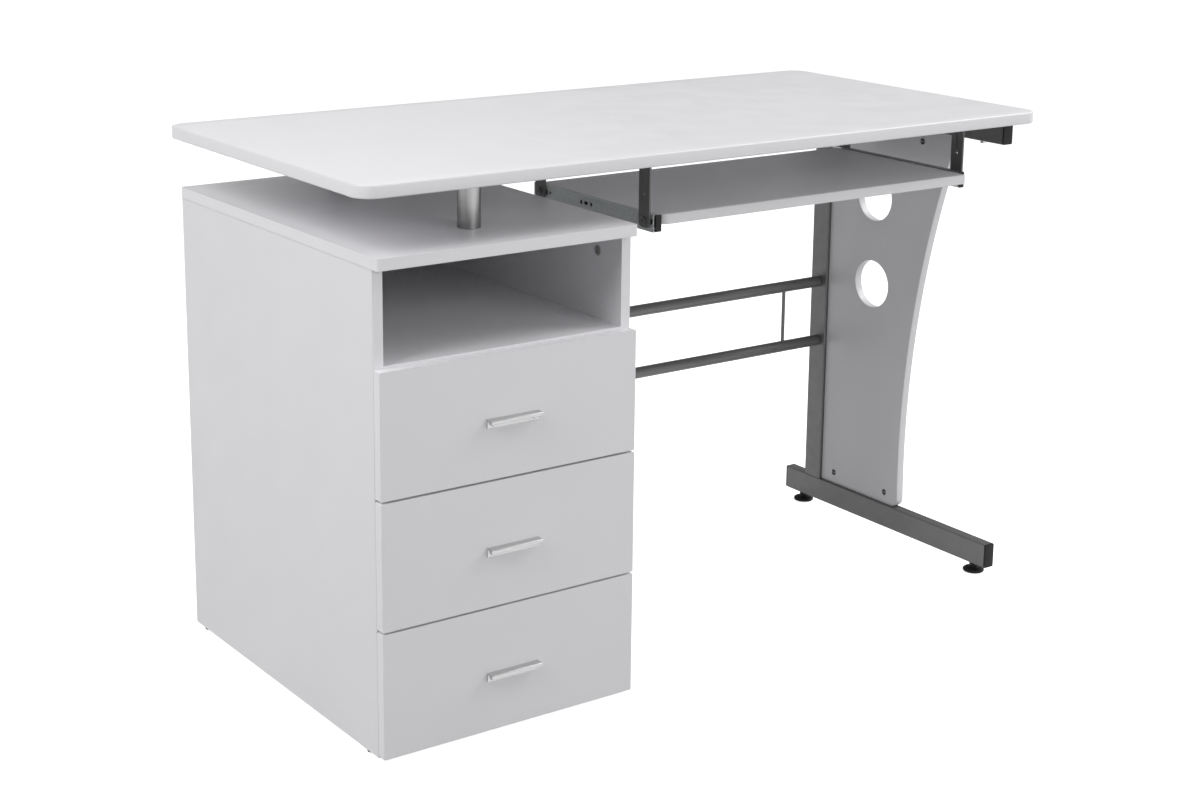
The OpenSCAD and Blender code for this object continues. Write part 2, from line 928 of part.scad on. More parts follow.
module crossbar(z) {
  plug = 8;
  len = leg_left - ped_right;
  in_frame() color([0.42, 0.42, 0.43])
    difference() {
      rod_x([ped_right, post_mid, z], bar_d, len);
      rod_x([ped_right + plug, post_mid, z], bar_d - 2 * bar_wall, len - 2 * plug);
      rod_x([ped_right - over, post_mid, z], bolt_d, plug + 2 * over);
      rod_x([leg_left - plug - over, post_mid, z], bolt_d, plug + 2 * over);
      rod_bars();
    }
}

module crossbar_upper() {
  crossbar(bar_high_z);
}

module crossbar_lower() {
  crossbar(bar_low_z);
}

module rod_bars() {
  for (x = rod_at_x)
    rod_z([x, post_mid, bar_low_z + 3], rod_d, bar_high_z - bar_low_z - 6);
}

module crossbar_rods() {
  in_frame() color([0.42, 0.42, 0.43]) rod_bars();
}

// ---- fastener groups -----------------------------------------------------------------------------------

module cam_locks() {
  in_frame() color([0.55, 0.55, 0.56]) all_cams(true);
}

// every socket-head connector bolt of the fixed frame
module connector_bolts() {
  bar_bolt_len = 40;
  in_frame() color([0.45, 0.45, 0.46]) {
    for (y = arm_bolt_y)
      translate([leg_left + tube_w / 2, y, arm_under]) bolt(arm_bolt_len);
    for (y = standoff_y)
      translate([ped_mid, y, plate_under]) bolt(standoff_bolt_len);
    for (z = [bar_low_z, bar_high_z]) {
      translate([leg_right, post_mid, z]) rotate([0, -90, 0]) bolt(bar_bolt_len);
      translate([inner_right, post_mid, z]) rotate([0, 90, 0]) bolt(bar_bolt_len);
    }
    dowel_bolt_places() bolt(dowel_bolt_len);
  }
}

// ---- nodes of the three drawers --------------------------------------------------------------------------

module drawer_1_front() { drawer_front(1); }
module drawer_1_left_side() { drawer_left_side(1); }
module drawer_1_right_side() { drawer_right_side(1); }
module drawer_1_back() { drawer_back(1); }
module drawer_1_bottom() { drawer_bottom(1); }
module drawer_1_handle() { drawer_handle(1); }
module drawer_1_runners() { drawer_runners(1); }
module drawer_1_screws() { drawer_screws(1); }
module drawer_2_front() { drawer_front(2); }
module drawer_2_left_side() { drawer_left_side(2); }
module drawer_2_right_side() { drawer_right_side(2); }
module drawer_2_back() { drawer_back(2); }
module drawer_2_bottom() { drawer_bottom(2); }
module drawer_2_handle() { drawer_handle(2); }
module drawer_2_runners() { drawer_runners(2); }
module drawer_2_screws() { drawer_screws(2); }
module drawer_3_front() { drawer_front(3); }
module drawer_3_left_side() { drawer_left_side(3); }
module drawer_3_right_side() { drawer_right_side(3); }
module drawer_3_back() { drawer_back(3); }
module drawer_3_bottom() { drawer_bottom(3); }
module drawer_3_handle() { drawer_handle(3); }
module drawer_3_runners() { drawer_runners(3); }
module drawer_3_screws() { drawer_screws(3); }

desk_top();
standoff_front();
standoff_rear();
pedestal_left_side();
pedestal_right_side();
pedestal_top_plate();
pedestal_back_panel();
cubby_shelf();
pedestal_rails();
cabinet_runners();
pedestal_glides();
leg_foot_bar();
leg_post();
leg_top_arm();
leg_panel();
tube_end_caps();
levelling_foot_front();
levelling_foot_rear();
crossbar_upper();
crossbar_lower();
crossbar_rods();
tray_hangers_left();
tray_hangers_right();
tray_slide_left_outer();
tray_slide_right_outer();
cam_locks();
cross_dowels();
connector_bolts();
hanger_screws();
hanger_bolts();
keyboard_tray();
tray_slide_left_inner();
tray_slide_right_inner();
tray_stops();
tray_screws();
drawer_1_front();
drawer_1_left_side();
drawer_1_right_side();
drawer_1_back();
drawer_1_bottom();
drawer_1_handle();
drawer_1_runners();
drawer_1_screws();
drawer_2_front();
drawer_2_left_side();
drawer_2_right_side();
drawer_2_back();
drawer_2_bottom();
drawer_2_handle();
drawer_2_runners();
drawer_2_screws();
drawer_3_front();
drawer_3_left_side();
drawer_3_right_side();
drawer_3_back();
drawer_3_bottom();
drawer_3_handle();
drawer_3_runners();
drawer_3_screws();
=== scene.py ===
"""Looks of the computer desk: finished boards, handles, feet, caps and procedural materials, built
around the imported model."""

import json
import math

import bmesh
import bpy
from mathutils import Matrix, Vector


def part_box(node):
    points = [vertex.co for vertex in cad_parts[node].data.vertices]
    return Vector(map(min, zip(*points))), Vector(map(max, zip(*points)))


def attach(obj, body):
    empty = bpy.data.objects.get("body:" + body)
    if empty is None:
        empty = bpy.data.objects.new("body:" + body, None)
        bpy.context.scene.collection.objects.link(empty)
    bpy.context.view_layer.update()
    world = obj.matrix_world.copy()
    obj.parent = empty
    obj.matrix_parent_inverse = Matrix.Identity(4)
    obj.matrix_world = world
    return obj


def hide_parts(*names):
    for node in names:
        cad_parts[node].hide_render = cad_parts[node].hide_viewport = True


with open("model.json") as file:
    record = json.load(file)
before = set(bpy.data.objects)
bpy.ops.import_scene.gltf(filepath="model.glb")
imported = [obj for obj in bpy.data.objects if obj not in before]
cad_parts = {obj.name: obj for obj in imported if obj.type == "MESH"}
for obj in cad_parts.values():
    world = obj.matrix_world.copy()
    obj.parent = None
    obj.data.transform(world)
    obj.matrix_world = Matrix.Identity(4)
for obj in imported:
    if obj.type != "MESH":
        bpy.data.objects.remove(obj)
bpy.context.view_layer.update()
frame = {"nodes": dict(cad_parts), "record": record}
nodes = frame["nodes"]
record = frame["record"]
node_slot = {part["node"]: part["material_slot"] for part in record["subparts"]}
node_body = {
    node: body for body, held in record["behaviour"]["bodies"].items() for node in held
}
DRAWERS = (1, 2, 3)
MM = 0.001

# edge rounding in metres
TOP_EDGE = 2.2 * MM
BOARD_EDGE = 1.4 * MM
FRONT_EDGE = 2.4 * MM
BOX_EDGE = 0.8 * MM
PLATE_EDGE = 4.0 * MM
PULL_EDGE = 0.35 * MM
CAP_EDGE = 1.0 * MM
TUBE_EDGE = 0.5 * MM

# plan radii and the leg panel's outline, as in the CAD
TOP_CORNER = 28 * MM
TRAY_FRONT_CORNER = 18 * MM
TRAY_SMALL_CORNER = 2 * MM
PANEL_SWEEP = 1660 * MM
PANEL_CORNER = 15 * MM
PANEL_FOOT_SET_BACK = 104 * MM
PANEL_SWEEP_RISE = 84 * MM
PORTHOLE_D = 81 * MM
PORTHOLE_FROM_REAR = 109 * MM
PORTHOLE_RISES = (380 * MM, 531 * MM)

# the pull, its two screw bosses and the caps of the tubes
PULL_WALL = 2.0 * MM
PULL_BEAD_D = 6.5 * MM
PULL_SOFT = 0.8 * MM
BOSS_R = 4.0 * MM
BOSS_LEN = 8 * MM
BOSS_CHAMFER = 0.4 * MM
BOSS_OFFSET = 32 * MM
CAP_T = 3 * MM
CAP_CORNER = 2.4 * MM

# the camera that took the photograph: its lens in millimetres, place in metres, turns in degrees
LENS = 62.475
SENSOR = 36.0
LENS_SHIFT = -0.1
CAMERA_PLACE = (-1.82091, -2.49927, 1.25005)
CAMERA_YAW = 35.54
CAMERA_PITCH = -13.17
CAMERA_ROLL = 0.64

# places that coincide closer than this are one vertex
SAME_PLACE = 1e-6


# ---- places ---------------------------------------------------------------------------------


def low(node):
    return Vector(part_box(node)[0])


def high(node):
    return Vector(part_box(node)[1])


def middle(node):
    return (low(node) + high(node)) / 2


def size(node):
    return high(node) - low(node)


# ---- node trees ------------------------------------------------------------------------------


class Shader:
    """A material's node tree, with short calls for the nodes that the finishes share."""

    def __init__(self, name):
        self.material = bpy.data.materials.new(name)
        self.material.use_nodes = True
        self.tree = self.material.node_tree
        self.bsdf = self.tree.nodes["Principled BSDF"]
        self.coords = self.tree.nodes.new("ShaderNodeTexCoord")
        self.height = None

    def link(self, source, target):
        self.tree.links.new(source, target)

    def put(self, node, socket, value):
        """Sets an input socket from a number, a colour or another node's output."""
        if isinstance(value, bpy.types.NodeSocket):
            self.link(value, node.inputs[socket])
        else:
            node.inputs[socket].default_value = value

    def own(self, **values):
        """Values that are the same all over the surface, on the shader's own sockets."""
        for socket, value in values.items():
            self.bsdf.inputs[socket.replace("_", " ")].default_value = value

    def place(self, stretch=(1, 1, 1)):
        node = self.tree.nodes.new("ShaderNodeMapping")
        node.inputs["Scale"].default_value = stretch
        self.link(self.coords.outputs["Object"], node.inputs["Vector"])
        return node.outputs["Vector"]

    def noise(self, scale, detail=2.0, rough=0.5, stretch=(1, 1, 1), warp=0.0):
        node = self.tree.nodes.new("ShaderNodeTexNoise")
        self.put(node, "Vector", self.place(stretch))
        self.put(node, "Scale", scale)
        self.put(node, "Detail", detail)
        self.put(node, "Roughness", rough)
        self.put(node, "Distortion", warp)
        return node.outputs["Fac"]

    def cells(self, scale, stretch=(1, 1, 1), output="Color"):
        node = self.tree.nodes.new("ShaderNodeTexVoronoi")
        self.put(node, "Vector", self.place(stretch))
        self.put(node, "Scale", scale)
        return node.outputs[output]

    def remap(self, value, from_low, from_high, to_low, to_high):
        node = self.tree.nodes.new("ShaderNodeMapRange")
        for socket, number in (
            ("Value", value),
            ("From Min", from_low),
            ("From Max", from_high),
            ("To Min", to_low),
            ("To Max", to_high),
        ):
            self.put(node, socket, number)
        return node.outputs["Result"]

    def math(self, operation, first, second=0.0):
        node = self.tree.nodes.new("ShaderNodeMath")
        node.operation = operation
        self.put(node, 0, first)
        self.put(node, 1, second)
        return node.outputs["Value"]

    def mix(self, factor, first, second):
        node = self.tree.nodes.new("ShaderNodeMix")
        node.data_type = "RGBA"
        self.put(node, "Factor", factor)
        self.put(node, "A", first)
        self.put(node, "B", second)
        return node.outputs["Result"]

    def facing(self, axis):
        """How squarely the surface faces along an axis of the object, from 0 to 1."""
        node = self.tree.nodes.new("ShaderNodeSeparateXYZ")
        self.link(self.coords.outputs["Normal"], node.inputs[0])
        return self.math("ABSOLUTE", node.outputs[axis])

    def bump(self, height, strength, distance):
        """Adds one layer of relief over the layers before it."""
        node = self.tree.nodes.new("ShaderNodeBump")
        self.put(node, "Height", height)
        self.put(node, "Strength", strength)
        self.put(node, "Distance", distance)
        if self.height is not None:
            self.link(self.height, node.inputs["Normal"])
        self.height = node.outputs["Normal"]
        self.link(self.height, self.bsdf.inputs["Normal"])

    def colour(self, value):
        self.put(self.bsdf, "Base Color", value)

    def roughness(self, value):
        self.put(self.bsdf, "Roughness", value)


def grey(value, warm=0.0):
    """A near-neutral colour; warm above 0 leans to yellow and below 0 to blue."""
    return (value * (1 + warm), value, value * (1 - warm), 1.0)


def cool(value):
    """The faintly violet white of the boards."""
    return (value * 0.993, value * 0.983, value * 1.012, 1.0)


# ---- finishes -----------------------------------------------------------------------------------


def laminate(name, thin_axis, value, grain):
    """White melamine board: fine pore relief along the grain, and a smoother edge band on the
    faces that don't face the board's thin axis, with a faint glue line between the two."""
    s = Shader(name)
    s.own(IOR=1.5)
    stretch = [420, 420, 420]
    stretch["XYZ".index(grain)] = 9
    pores = s.noise(1.0, 3.0, 0.6, stretch, 0.15)
    cloud = s.noise(3.2, 3.0, 0.55)
    smudge = s.noise(17.0, 4.0, 0.6)
    face = s.facing(thin_axis)
    band = s.remap(face, 0.55, 0.62, 1.0, 0.0)
    seam = s.math("MULTIPLY", s.remap(face, 0.60, 0.72, 0.0, 1.0), s.remap(face, 0.84, 0.95, 1.0, 0.0))
    sheet = s.mix(cloud, cool(value * 0.965), cool(value * 1.015))
    sheet = s.mix(s.remap(pores, 0.62, 0.78, 0.0, 0.10), sheet, cool(value * 0.80))
    edge = s.mix(cloud, cool(value * 0.985), cool(value * 1.03))
    colour = s.mix(band, sheet, edge)
    s.colour(s.mix(s.math("MULTIPLY", seam, 0.16), colour, grey(value * 0.55)))
    rough = s.remap(smudge, 0.3, 0.7, 0.36, 0.46)
    s.roughness(s.math("SUBTRACT", rough, s.math("MULTIPLY", band, 0.06)))
    s.bump(s.noise(1300.0, 2.0), 0.10, 0.0001)
    s.bump(pores, 0.10, 0.00012)
    return s.material


def hardboard(name, value):
    """Thin fibre board with a painted white face."""
    s = Shader(name)
    fibre = s.noise(1.0, 4.0, 0.65, (900, 320, 700), 0.6)
    cloud = s.noise(5.0, 3.0)
    face = s.mix(cloud, cool(value * 0.95), cool(value * 1.02))
    s.colour(s.mix(s.remap(fibre, 0.45, 0.75, 0.0, 0.25), face, grey(value * 0.78, 0.03)))
    s.roughness(s.remap(fibre, 0.3, 0.7, 0.52, 0.66))
    s.bump(fibre, 0.22, 0.00015)
    return s.material


def box_foil(name, value):
    """Drawer box board: paper foil with a pressed linen texture."""
    s = Shader(name)
    threads = s.noise(1.0, 1.0, 0.5, (1500, 1500, 160))
    across = s.noise(1.0, 1.0, 0.5, (160, 160, 1500))
    weave = s.math("MULTIPLY", threads, across)
    cloud = s.noise(6.0, 2.0)
    foil = s.mix(cloud, grey(value * 0.96), grey(value * 1.02))
    s.colour(s.mix(s.remap(weave, 0.2, 0.45, 0.0, 0.14), foil, grey(value * 0.82)))
    s.roughness(s.remap(weave, 0.15, 0.4, 0.44, 0.56))
    s.bump(weave, 0.25, 0.0001)
    return s.material


def powder_coat(name, value, metallic):
    """Fine metallic powder coat: orange peel, tiny bright flakes and rubbed handling marks."""
    s = Shader(name)
    s.own(Metallic=metallic, IOR=1.5)
    peel = s.noise(780.0, 2.0, 0.55)
    flakes = s.remap(s.cells(2600.0, output="Distance"), 0.05, 0.30, 1.0, 0.0)
    cloud = s.noise(9.0, 4.0, 0.6)
    base = s.mix(cloud, grey(value * 0.90, 0.004), grey(value * 1.10, 0.004))
    s.colour(s.mix(s.math("MULTIPLY", flakes, 0.30), base, grey(min(1.0, value * 2.2))))
    s.roughness(s.remap(s.noise(60.0, 3.0, 0.6), 0.3, 0.7, 0.38, 0.52))
    s.bump(peel, 0.20, 0.00018)
    return s.material


def strap_coat(name, value):
    """Dark satin coat over cold-rolled strap, with drawn lines along its length."""
    s = Shader(name)
    s.own(Metallic=0.45)
    lines = s.noise(1.0, 3.0, 0.6, (900, 900, 25))
    cloud = s.noise(40.0, 3.0)
    base = s.mix(cloud, grey(value * 0.85), grey(value * 1.20))
    s.colour(s.mix(s.remap(lines, 0.5, 0.8, 0.0, 0.35), base, grey(value * 1.9)))
    s.roughness(s.remap(lines, 0.3, 0.7, 0.36, 0.54))
    s.bump(lines, 0.18, 0.0001)
    return s.material


def galvanised(name, value):
    """Zinc-coated sheet: crystal spangle in colour and roughness, with rolling lines."""
    s = Shader(name)
    s.own(Metallic=0.85)
    spangle = s.cells(210.0, (1, 1, 1.4))
    rolled = s.noise(1.0, 3.0, 0.6, (700, 14, 700))
    dull = (value * 0.78, value * 0.86, value * 0.85, 1)
    bright = (value * 1.1, value * 1.15, value * 1.13, 1)
    tint = s.mix(spangle, dull, bright)
    s.colour(s.mix(s.remap(rolled, 0.4, 0.7, 0.0, 0.3), tint, grey(value * 1.25, -0.02)))
    s.roughness(s.remap(spangle, 0.0, 1.0, 0.34, 0.52))
    s.bump(rolled, 0.12, 0.0001)
    s.bump(s.noise(420.0, 2.0), 0.08, 0.0001)
    return s.material


def brushed(name, value, along, rough_low, rough_high):
    """Bright metal with fine lines along an axis of the object."""
    s = Shader(name)
    s.own(Metallic=1.0)
    stretch = [1500, 1500, 1500]
    stretch["XYZ".index(along)] = 22
    lines = s.noise(1.0, 4.0, 0.65, stretch)
    cloud = s.noise(30.0, 3.0)
    metal = s.mix(cloud, grey(value * 0.93), grey(value * 1.04))
    s.colour(s.mix(s.remap(lines, 0.35, 0.75, 0.0, 0.4), metal, grey(value * 0.80)))
    s.roughness(s.remap(lines, 0.25, 0.75, rough_low, rough_high))
    s.bump(lines, 0.10, 0.00005)
    return s.material


def satin_alloy(name, value):
    """Bead-blasted silver finish with faint drawn lines along the pull."""
    s = Shader(name)
    s.own(Metallic=0.70)
    lines = s.noise(1.0, 3.0, 0.6, (20, 1400, 1400))
    grain = s.noise(1500.0, 2.0, 0.6)
    metal = s.mix(lines, grey(value * 0.90, -0.006), grey(value * 1.08, -0.006))
    s.colour(s.mix(s.remap(grain, 0.4, 0.7, 0.0, 0.25), metal, grey(value * 0.80, -0.006)))
    s.roughness(s.remap(grain, 0.3, 0.7, 0.34, 0.46))
    s.bump(lines, 0.10, 0.00005)
    return s.material


def zinc(name):
    """Zinc-plated fastener: mottled bright metal with a touch of yellow passivation."""
    s = Shader(name)
    s.own(Metallic=1.0)
    mottle = s.noise(350.0, 4.0, 0.6)
    s.colour(s.mix(mottle, (0.50, 0.49, 0.46, 1), (0.70, 0.70, 0.69, 1)))
    s.roughness(s.remap(mottle, 0.3, 0.7, 0.26, 0.42))
    s.bump(mottle, 0.10, 0.00005)
    return s.material


def dowel_face(name):
    """Die-cast dowel end: pale, matt and lightly pitted."""
    s = Shader(name)
    pits = s.noise(900.0, 3.0, 0.6)
    s.colour(s.mix(pits, cool(0.62), cool(0.84)))
    s.roughness(s.remap(pits, 0.3, 0.7, 0.45, 0.60))
    s.bump(pits, 0.12, 0.00005)
    return s.material


def moulded(name, value, rough):
    """Moulded plastic with a spark-eroded grain and slightly glossier rubbed spots."""
    s = Shader(name)
    s.own(Specular_IOR_Level=0.22)
    grain = s.noise(900.0, 2.0, 0.6)
    rubbed = s.noise(55.0, 3.0, 0.6)
    s.colour(s.mix(rubbed, grey(value * 0.8), grey(value * 1.35)))
    s.roughness(s.math("SUBTRACT", s.remap(grain, 0.3, 0.7, rough, rough + 0.12),
                       s.remap(rubbed, 0.55, 0.75, 0.0, 0.10)))
    s.bump(grain, 0.25, 0.0001)
    return s.material


def coated_sheet(name, value):
    """White epoxy-coated runner steel with grease-dulled tracks."""
    s = Shader(name)
    tracks = s.noise(1.0, 3.0, 0.6, (60, 12, 500))
    s.colour(s.mix(s.remap(tracks, 0.5, 0.8, 0.0, 0.35), grey(value), grey(value * 0.72, 0.02)))
    s.roughness(s.remap(tracks, 0.3, 0.7, 0.28, 0.42))
    s.bump(s.noise(800.0, 2.0), 0.15, 0.0001)
    return s.material


BOARD = 0.80
FINISH = {
    "top": laminate("laminate_top", "Z", BOARD, "X"),
    "flat": laminate("laminate_flat", "Z", BOARD, "X"),
    "front": laminate("laminate_front", "Y", BOARD, "Z"),
    "side": laminate("laminate_side", "X", BOARD, "Z"),
    "box": box_foil("box_foil", 0.74),
    "hardboard": hardboard("hardboard_white", 0.70),
    "frame": powder_coat("powder_coat_silver", 0.15, 0.35),
    "strap": strap_coat("strap_dark", 0.12),
    "galvanised": galvanised("galvanised_sheet", 0.46),
    "standoff": brushed("satin_tube", 0.36, "Z", 0.26, 0.36),
    "handle": satin_alloy("satin_handle", 0.50),
    "zinc": zinc("zinc_plated"),
    "black": moulded("black_plastic", 0.010, 0.50),
    # the inner slide members get a far darker zinc: painted shade for the dark hollow inside the slide
    "slide_inside": galvanised("galvanised_painted_shade", 0.10),
    "dowel": dowel_face("dowel_face"),
    "runner": coated_sheet("runner_white", 0.72),
}
SLOT_FINISH = {
    "white_laminate": "flat",
    "drawer_box_board": "box",
    "white_hardboard": "hardboard",
    "silver_grey_powder_coat": "frame",
    "dark_coated_steel": "strap",
    "white_coated_steel": "runner",
    "galvanised_steel": "galvanised",
    "satin_steel_tube": "standoff",
    "silver_handle": "handle",
    "zinc_fasteners": "zinc",
    "black_plastic": "black",
}
# nodes whose finish isn't the one of their material slot
NODE_FINISH = {
    "tray_slide_left_inner": "slide_inside",
    "tray_slide_right_inner": "slide_inside",
    "cross_dowels": "dowel",
}


# ---- making pieces ------------------------------------------------------------------------------


def add_piece(name, mesh, finish, replaced):
    """Links a mesh as a visible piece that rides on the body of the CAD node it stands for."""
    piece = bpy.data.objects.new(name, mesh)
    bpy.context.scene.collection.objects.link(piece)
    mesh.materials.clear()
    mesh.materials.append(FINISH[finish])
    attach(piece, node_body[replaced])
    return piece


def shade(bm, angle=35.0):
    """Smooth shading with sharp edges where two faces meet at more than an angle."""
    for face in bm.faces:
        face.smooth = True
    for edge in bm.edges:
        edge.smooth = len(edge.link_faces) == 2 and edge.calc_face_angle(0) < math.radians(angle)


def round_edges(piece, width, segments=3, angle=40.0):
    bevel = piece.modifiers.new("rounded_edges", "BEVEL")
    bevel.width = width
    bevel.segments = segments
    bevel.limit_method = "ANGLE"
    bevel.angle_limit = math.radians(angle)
    bevel.harden_normals = True
    bevel.use_clamp_overlap = True


def finished_copy(node, finish, edge):
    """The CAD node's own shape with rounded edges, for boards whose cut-outs are all wanted."""
    mesh = nodes[node].data.copy()
    bm = bmesh.new()
    bm.from_mesh(mesh)
    bmesh.ops.remove_doubles(bm, verts=bm.verts, dist=SAME_PLACE)
    bmesh.ops.dissolve_limit(bm, angle_limit=math.radians(0.5), verts=bm.verts, edges=bm.edges)
    shade(bm)
    bm.to_mesh(mesh)
    bm.free()
    if mesh.attributes.get("custom_normal"):
        mesh.attributes.remove(mesh.attributes["custom_normal"])
    piece = add_piece(node + "_board", mesh, finish, node)
    round_edges(piece, edge)
    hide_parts(node)


def arc(centre, radius, start, stop, steps=10):
    """Points on a circle, angles in degrees."""
    turn = [math.radians(start + (stop - start) * i / steps) for i in range(steps + 1)]
    return [(centre[0] + radius * math.cos(t), centre[1] + radius * math.sin(t)) for t in turn]


def round_rect(x0, y0, x1, y1, near, far, steps=10):
    """A rectangle's outline with one radius at y0 and another at y1."""
    return (
        arc((x0 + near, y0 + near), near, 180, 270, steps)
        + arc((x1 - near, y0 + near), near, 270, 360, steps)
        + arc((x1 - far, y1 - far), far, 0, 90, steps)
        + arc((x0 + far, y1 - far), far, 90, 180, steps)
    )


def slab_mesh(name, outlines, thickness, edge):
    """A filled plate in the XY plane, its middle at z = 0, with rounded rims on every outline."""
    curve = bpy.data.curves.new(name + "_outline", "CURVE")
    curve.dimensions = "2D"
    curve.fill_mode = "BOTH"
    for outline in outlines:
        spline = curve.splines.new("POLY")
        spline.points.add(len(outline) - 1)
        for point, (x, y) in zip(spline.points, outline):
            point.co = (x, y, 0, 1)
        spline.use_cyclic_u = True
    curve.extrude = thickness / 2 - edge
    curve.bevel_depth = edge
    curve.bevel_resolution = 3
    curve.offset = -edge
    holder = bpy.data.objects.new(name + "_curve", curve)
    bpy.context.scene.collection.objects.link(holder)
    graph = bpy.context.evaluated_depsgraph_get()
    mesh = bpy.data.meshes.new_from_object(holder.evaluated_get(graph))
    bpy.data.objects.remove(holder)
    bm = bmesh.new()
    bm.from_mesh(mesh)
    bmesh.ops.remove_doubles(bm, verts=bm.verts, dist=SAME_PLACE)
    bmesh.ops.recalc_face_normals(bm, faces=bm.faces)
    shade(bm, 50.0)
    bm.to_mesh(mesh)
    bm.free()
    mesh.name = name
    return mesh


# turns a plate drawn in XY so that its width and height lie along other axes
LYING = Matrix.Identity(4)
FACING_FRONT = Matrix(((1, 0, 0, 0), (0, 0, -1, 0), (0, 1, 0, 0), (0, 0, 0, 1)))
FACING_SIDE = Matrix(((0, 0, 1, 0), (1, 0, 0, 0), (0, 1, 0, 0), (0, 0, 0, 1)))


def slab(node, finish, outlines, edge, turned, thin):
    """A plate that stands for a CAD node; thin is the index of the axis of its thickness."""
    mesh = slab_mesh(node + "_slab", outlines, size(node)[thin], edge)
    mesh.transform(turned)
    shift = Vector((0, 0, 0))
    shift[thin] = middle(node)[thin]
    mesh.transform(Matrix.Translation(shift))
    piece = add_piece(node + "_slab", mesh, finish, node)
    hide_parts(node)


def lathe_mesh(name, profile, steps=48):
    """A closed profile of (radius, height) pairs turned about Z."""
    bm = bmesh.new()
    ring = [bm.verts.new((r, 0, z)) for r, z in profile]
    edges = [bm.edges.new((a, b)) for a, b in zip(ring, ring[1:])]
    bmesh.ops.spin(
        bm, geom=ring + edges, cent=(0, 0, 0), axis=(0, 0, 1), angle=math.tau, steps=steps,
        use_duplicate=False,
    )
    bmesh.ops.remove_doubles(bm, verts=bm.verts, dist=SAME_PLACE)
    bmesh.ops.recalc_face_normals(bm, faces=bm.faces)
    shade(bm, 40.0)
    mesh = bpy.data.meshes.new(name)
    bm.to_mesh(mesh)
    bm.free()
    return mesh


def merged(name, meshes):
    """One mesh out of several, each already in its place."""
    bm = bmesh.new()
    for mesh in meshes:
        bm.from_mesh(mesh)
    whole = bpy.data.meshes.new(name)
    bm.to_mesh(whole)
    bm.free()
    return whole


# ---- boards ----------------------------------------------------------------------------------------


def make_desk_top():
    lo, hi = low("desk_top"), high("desk_top")
    outline = round_rect(lo.x, lo.y, hi.x, hi.y, TOP_CORNER, TOP_CORNER, 16)
    slab("desk_top", "top", [outline], TOP_EDGE, LYING, 2)


def make_tray():
    """The tray; only its front corner next to the pedestal has the large radius."""
    lo, hi = low("keyboard_tray"), high("keyboard_tray")
    front, small = TRAY_FRONT_CORNER, TRAY_SMALL_CORNER
    outline = (
        arc((lo.x + front, lo.y + front), front, 180, 270, 16)
        + arc((hi.x - small, lo.y + small), small, 270, 360, 4)
        + arc((hi.x - small, hi.y - small), small, 0, 90, 4)
        + arc((lo.x + small, hi.y - small), small, 90, 180, 4)
    )
    slab("keyboard_tray", "flat", [outline], BOARD_EDGE, LYING, 2)


def make_leg_panel():
    """The side panel with its swept front edge, drawn in the YZ plane."""
    lo, hi = low("leg_panel"), high("leg_panel")
    corner = PANEL_CORNER
    sweep_z = lo.z + PANEL_SWEEP_RISE
    centre_y = lo.y + PANEL_FOOT_SET_BACK - PANEL_SWEEP
    steps = 40
    edge = []
    for i in range(steps + 1):
        z = hi.z - (hi.z - lo.z - corner) * i / steps
        edge.append((centre_y + math.sqrt(PANEL_SWEEP**2 - (z - sweep_z) ** 2), z))
    foot_y = edge[-1][0]
    outline = (
        edge[:-1]
        + arc((foot_y + corner, lo.z + corner), corner, 180, 270)
        + [(hi.y, lo.z), (hi.y, hi.z)]
    )
    holes = []
    for rise in PORTHOLE_RISES:
        centre = (hi.y - PORTHOLE_FROM_REAR, lo.z + rise)
        holes.append(arc(centre, PORTHOLE_D / 2, 360, 0, 64)[:-1])
    slab("leg_panel", "side", [outline] + holes, BOARD_EDGE, FACING_SIDE, 0)


def make_boards():
    make_desk_top()
    make_tray()
    make_leg_panel()
    for node, finish in (
        ("pedestal_left_side", "side"),
        ("pedestal_right_side", "side"),
        ("cubby_shelf", "flat"),
        ("pedestal_rails", "flat"),
    ):
        finished_copy(node, finish, BOX_EDGE)
    finished_copy("pedestal_top_plate", "flat", PLATE_EDGE)
    for n in DRAWERS:
        finished_copy(f"drawer_{n}_front", "front", FRONT_EDGE)
        for part in ("left_side", "right_side", "back"):
            finished_copy(f"drawer_{n}_{part}", "box", BOX_EDGE)


# ---- handles ------------------------------------------------------------------------------------------


def make_handle(n):
    """The pull with its rod-like front edge, extruded along X, and its two screw bosses."""
    node = f"drawer_{n}_handle"
    lo, hi = low(node), high(node)
    face, top, lip_y = hi.y, hi.z, lo.y
    wall, bead, soft = PULL_WALL, PULL_BEAD_D / 2, PULL_SOFT
    bead_y = lip_y + bead
    web_meets = 360 + math.degrees(math.asin((bead - wall) / bead))
    # section in YZ: over the top, round the bead and up behind it, then down the back flange
    section = (
        [(face, top)]
        + arc((bead_y, top - bead), bead, 90, web_meets, 32)
        + arc((face - wall - soft, top - wall - soft), soft, 90, 0, 5)
        + arc((face - wall + soft, lo.z + soft), soft, 180, 270, 5)
        + [(face, lo.z)]
    )
    mesh = slab_mesh(node + "_pull", [section], hi.x - lo.x, PULL_EDGE)
    mesh.transform(FACING_SIDE)
    mesh.transform(Matrix.Translation(((lo.x + hi.x) / 2, 0, 0)))
    bosses = [mesh]
    boss = [
        (0, 0), (BOSS_R - BOSS_CHAMFER, 0), (BOSS_R, BOSS_CHAMFER), (BOSS_R, BOSS_LEN), (0, BOSS_LEN),
    ]
    for side in (-BOSS_OFFSET, BOSS_OFFSET):
        one = lathe_mesh("boss", boss, 24)
        place = Vector(((lo.x + hi.x) / 2 + side, face - BOSS_LEN, (lo.z + hi.z) / 2))
        one.transform(Matrix.Translation(place) @ Matrix.Rotation(math.radians(-90), 4, "X"))
        bosses.append(one)
    piece = add_piece(node + "_pull", merged(node + "_pull", bosses), "handle", node)
    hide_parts(node)


# ---- metalwork and plastic ---------------------------------------------------------------------------


